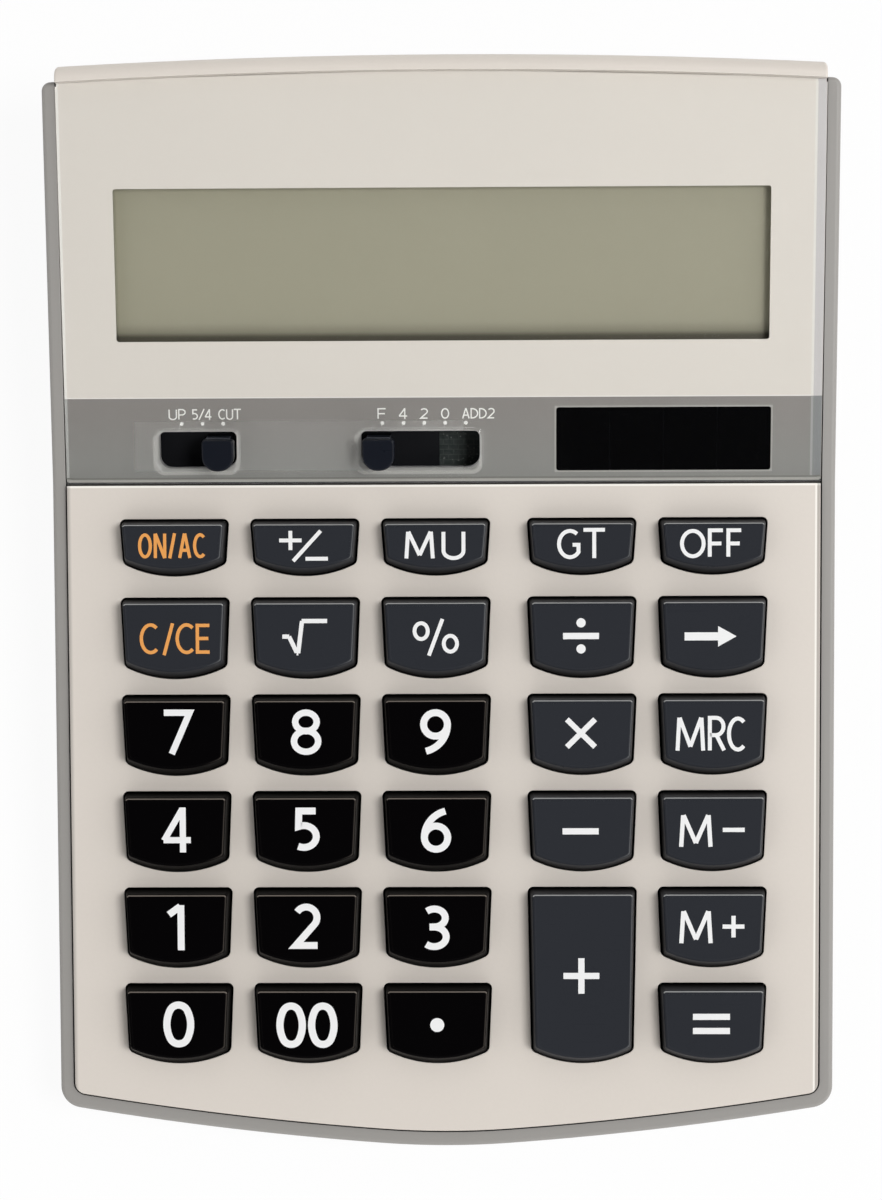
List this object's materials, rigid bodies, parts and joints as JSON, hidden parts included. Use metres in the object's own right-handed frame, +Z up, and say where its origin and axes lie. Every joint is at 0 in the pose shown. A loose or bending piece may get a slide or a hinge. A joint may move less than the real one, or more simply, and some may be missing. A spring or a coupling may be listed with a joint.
{
  "type": "desktop calculator",
  "caption": "Wedge-shaped desktop calculator with sprung keys, a raised display panel with a solar cell, two slide switches and a sliding battery door.",
  "frame": {"origin": "on the table, under the middle of the case, level with the undersides of the rubber feet", "axes": "+X to the user's right, +Y from the user towards the display, +Z up from the table"},
  "size_m": [0.1474, 0.2044, 0.0366],
  "materials": {
    "cream_plastic": "fine satin texture",
    "grey_plastic": "fine satin texture",
    "slate_key_plastic": "soft gloss",
    "black_key_plastic": "gloss",
    "knob_plastic": "soft gloss",
    "clear_acrylic": "clear, printed on its back",
    "lcd_glass": "satin polariser",
    "white_frame_plastic": "satin",
    "grey_rubber": "matte",
    "foot_rubber": "matte",
    "circuit_board": "solder mask",
    "black_epoxy": "gloss",
    "solar_glass": "gloss",
    "ribbon_plastic": "satin",
    "steel": "plated",
    "contact_metal": "spring strip",
    "lead_copper": "tinned copper"
  },
  "bodies": {
    "case": {"upper_case": "cream_plastic", "base_case": "grey_plastic", "display_lens": "clear_acrylic", "lcd_glass": "lcd_glass", "lcd_holder": "white_frame_plastic", "rubber_mat": "grey_rubber", "zebra_strip": "grey_rubber", "foot_front_left": "foot_rubber", "foot_front_right": "foot_rubber", "foot_back_left": "foot_rubber", "foot_back_right": "foot_rubber", "display_board": "circuit_board", "key_board": "circuit_board", "controller_chip": "black_epoxy", "solar_cell": "solar_glass", "ribbon_cable": "ribbon_plastic", "case_screw_front_left": "steel", "case_screw_front_right": "steel", "case_screw_back_left": "steel", "case_screw_back_right": "steel", "board_screw_left": "steel", "board_screw_right": "steel", "coin_cell": "steel", "cell_contact_top": "contact_metal", "cell_contact_side": "contact_metal", "solar_lead": "lead_copper"},
    "key_on": {"key_on": "slate_key_plastic"},
    "key_sign": {"key_sign": "slate_key_plastic"},
    "key_mu": {"key_mu": "slate_key_plastic"},
    "key_gt": {"key_gt": "slate_key_plastic"},
    "key_off": {"key_off": "slate_key_plastic"},
    "key_clear": {"key_clear": "slate_key_plastic"},
    "key_root": {"key_root": "slate_key_plastic"},
    "key_percent": {"key_percent": "slate_key_plastic"},
    "key_divide": {"key_divide": "slate_key_plastic"},
    "key_backspace": {"key_backspace": "slate_key_plastic"},
    "key_7": {"key_7": "black_key_plastic"},
    "key_8": {"key_8": "black_key_plastic"},
    "key_9": {"key_9": "black_key_plastic"},
    "key_multiply": {"key_multiply": "slate_key_plastic"},
    "key_mrc": {"key_mrc": "slate_key_plastic"},
    "key_4": {"key_4": "black_key_plastic"},
    "key_5": {"key_5": "black_key_plastic"},
    "key_6": {"key_6": "black_key_plastic"},
    "key_minus": {"key_minus": "slate_key_plastic"},
    "key_m_minus": {"key_m_minus": "slate_key_plastic"},
    "key_1": {"key_1": "black_key_plastic"},
    "key_2": {"key_2": "black_key_plastic"},
    "key_3": {"key_3": "black_key_plastic"},
    "key_plus": {"key_plus": "slate_key_plastic"},
    "key_m_plus": {"key_m_plus": "slate_key_plastic"},
    "key_0": {"key_0": "black_key_plastic"},
    "key_00": {"key_00": "black_key_plastic"},
    "key_point": {"key_point": "black_key_plastic"},
    "key_equals": {"key_equals": "slate_key_plastic"},
    "rounding_switch": {"rounding_knob": "knob_plastic", "rounding_wiper": "contact_metal"},
    "decimal_switch": {"decimal_knob": "knob_plastic", "decimal_wiper": "contact_metal"},
    "battery_door": {"battery_door": "grey_plastic"}
  },
  "joints": [
    {"name": "key_on_press", "type": "slide", "parent": "case", "child": "key_on", "axis": [0, 0.0732, -0.9973], "range_m": [0, 0.0022], "stiffness_N_per_m": 300, "springref_m": -0.0008, "deforming": ["rubber_mat"]},
    {"name": "key_sign_press", "type": "slide", "parent": "case", "child": "key_sign", "axis": [0, 0.0732, -0.9973], "range_m": [0, 0.0022], "stiffness_N_per_m": 300, "springref_m": -0.0008, "deforming": ["rubber_mat"]},
    {"name": "key_mu_press", "type": "slide", "parent": "case", "child": "key_mu", "axis": [0, 0.0732, -0.9973], "range_m": [0, 0.0022], "stiffness_N_per_m": 300, "springref_m": -0.0008, "deforming": ["rubber_mat"]},
    {"name": "key_gt_press", "type": "slide", "parent": "case", "child": "key_gt", "axis": [0, 0.0732, -0.9973], "range_m": [0, 0.0022], "stiffness_N_per_m": 300, "springref_m": -0.0008, "deforming": ["rubber_mat"]},
    {"name": "key_off_press", "type": "slide", "parent": "case", "child": "key_off", "axis": [0, 0.0732, -0.9973], "range_m": [0, 0.0022], "stiffness_N_per_m": 300, "springref_m": -0.0008, "deforming": ["rubber_mat"]},
    {"name": "key_clear_press", "type": "slide", "parent": "case", "child": "key_clear", "axis": [0, 0.0732, -0.9973], "range_m": [0, 0.0022], "stiffness_N_per_m": 300, "springref_m": -0.0008, "deforming": ["rubber_mat"]},
    {"name": "key_root_press", "type": "slide", "parent": "case", "child": "key_root", "axis": [0, 0.0732, -0.9973], "range_m": [0, 0.0022], "stiffness_N_per_m": 300, "springref_m": -0.0008, "deforming": ["rubber_mat"]},
    {"name": "key_percent_press", "type": "slide", "parent": "case", "child": "key_percent", "axis": [0, 0.0732, -0.9973], "range_m": [0, 0.0022], "stiffness_N_per_m": 300, "springref_m": -0.0008, "deforming": ["rubber_mat"]},
    {"name": "key_divide_press", "type": "slide", "parent": "case", "child": "key_divide", "axis": [0, 0.0732, -0.9973], "range_m": [0, 0.0022], "stiffness_N_per_m": 300, "springref_m": -0.0008, "deforming": ["rubber_mat"]},
    {"name": "key_backspace_press", "type": "slide", "parent": "case", "child": "key_backspace", "axis": [0, 0.0732, -0.9973], "range_m": [0, 0.0022], "stiffness_N_per_m": 300, "springref_m": -0.0008, "deforming": ["rubber_mat"]},
    {"name": "key_7_press", "type": "slide", "parent": "case", "child": "key_7", "axis": [0, 0.0732, -0.9973], "range_m": [0, 0.0022], "stiffness_N_per_m": 300, "springref_m": -0.0008, "deforming": ["rubber_mat"]},
    {"name": "key_8_press", "type": "slide", "parent": "case", "child": "key_8", "axis": [0, 0.0732, -0.9973], "range_m": [0, 0.0022], "stiffness_N_per_m": 300, "springref_m": -0.0008, "deforming": ["rubber_mat"]},
    {"name": "key_9_press", "type": "slide", "parent": "case", "child": "key_9", "axis": [0, 0.0732, -0.9973], "range_m": [0, 0.0022], "stiffness_N_per_m": 300, "springref_m": -0.0008, "deforming": ["rubber_mat"]},
    {"name": "key_multiply_press", "type": "slide", "parent": "case", "child": "key_multiply", "axis": [0, 0.0732, -0.9973], "range_m": [0, 0.0022], "stiffness_N_per_m": 300, "springref_m": -0.0008, "deforming": ["rubber_mat"]},
    {"name": "key_mrc_press", "type": "slide", "parent": "case", "child": "key_mrc", "axis": [0, 0.0732, -0.9973], "range_m": [0, 0.0022], "stiffness_N_per_m": 300, "springref_m": -0.0008, "deforming": ["rubber_mat"]},
    {"name": "key_4_press", "type": "slide", "parent": "case", "child": "key_4", "axis": [0, 0.0732, -0.9973], "range_m": [0, 0.0022], "stiffness_N_per_m": 300, "springref_m": -0.0008, "deforming": ["rubber_mat"]},
    {"name": "key_5_press", "type": "slide", "parent": "case", "child": "key_5", "axis": [0, 0.0732, -0.9973], "range_m": [0, 0.0022], "stiffness_N_per_m": 300, "springref_m": -0.0008, "deforming": ["rubber_mat"]},
    {"name": "key_6_press", "type": "slide", "parent": "case", "child": "key_6", "axis": [0, 0.0732, -0.9973], "range_m": [0, 0.0022], "stiffness_N_per_m": 300, "springref_m": -0.0008, "deforming": ["rubber_mat"]},
    {"name": "key_minus_press", "type": "slide", "parent": "case", "child": "key_minus", "axis": [0, 0.0732, -0.9973], "range_m": [0, 0.0022], "stiffness_N_per_m": 300, "springref_m": -0.0008, "deforming": ["rubber_mat"]},
    {"name": "key_m_minus_press", "type": "slide", "parent": "case", "child": "key_m_minus", "axis": [0, 0.0732, -0.9973], "range_m": [0, 0.0022], "stiffness_N_per_m": 300, "springref_m": -0.0008, "deforming": ["rubber_mat"]},
    {"name": "key_1_press", "type": "slide", "parent": "case", "child": "key_1", "axis": [0, 0.0732, -0.9973], "range_m": [0, 0.0022], "stiffness_N_per_m": 300, "springref_m": -0.0008, "deforming": ["rubber_mat"]},
    {"name": "key_2_press", "type": "slide", "parent": "case", "child": "key_2", "axis": [0, 0.0732, -0.9973], "range_m": [0, 0.0022], "stiffness_N_per_m": 300, "springref_m": -0.0008, "deforming": ["rubber_mat"]},
    {"name": "key_3_press", "type": "slide", "parent": "case", "child": "key_3", "axis": [0, 0.0732, -0.9973], "range_m": [0, 0.0022], "stiffness_N_per_m": 300, "springref_m": -0.0008, "deforming": ["rubber_mat"]},
    {"name": "key_plus_press", "type": "slide", "parent": "case", "child": "key_plus", "axis": [0, 0.0732, -0.9973], "range_m": [0, 0.0022], "stiffness_N_per_m": 300, "springref_m": -0.0008, "deforming": ["rubber_mat"]},
    {"name": "key_m_plus_press", "type": "slide", "parent": "case", "child": "key_m_plus", "axis": [0, 0.0732, -0.9973], "range_m": [0, 0.0022], "stiffness_N_per_m": 300, "springref_m": -0.0008, "deforming": ["rubber_mat"]},
    {"name": "key_0_press", "type": "slide", "parent": "case", "child": "key_0", "axis": [0, 0.0732, -0.9973], "range_m": [0, 0.0022], "stiffness_N_per_m": 300, "springref_m": -0.0008, "deforming": ["rubber_mat"]},
    {"name": "key_00_press", "type": "slide", "parent": "case", "child": "key_00", "axis": [0, 0.0732, -0.9973], "range_m": [0, 0.0022], "stiffness_N_per_m": 300, "springref_m": -0.0008, "deforming": ["rubber_mat"]},
    {"name": "key_point_press", "type": "slide", "parent": "case", "child": "key_point", "axis": [0, 0.0732, -0.9973], "range_m": [0, 0.0022], "stiffness_N_per_m": 300, "springref_m": -0.0008, "deforming": ["rubber_mat"]},
    {"name": "key_equals_press", "type": "slide", "parent": "case", "child": "key_equals", "axis": [0, 0.0732, -0.9973], "range_m": [0, 0.0022], "stiffness_N_per_m": 300, "springref_m": -0.0008, "deforming": ["rubber_mat"]},
    {"name": "rounding_slide", "type": "slide", "parent": "case", "child": "rounding_switch", "axis": [1, 0, 0], "range_m": [-0.0078, 0]},
    {"name": "decimal_slide", "type": "slide", "parent": "case", "child": "decimal_switch", "axis": [1, 0, 0], "range_m": [0, 0.0156]},
    {"name": "battery_door_slide", "type": "slide", "parent": "case", "child": "battery_door", "axis": [0, 1, 0], "range_m": [0, 0.026]}
  ]
}
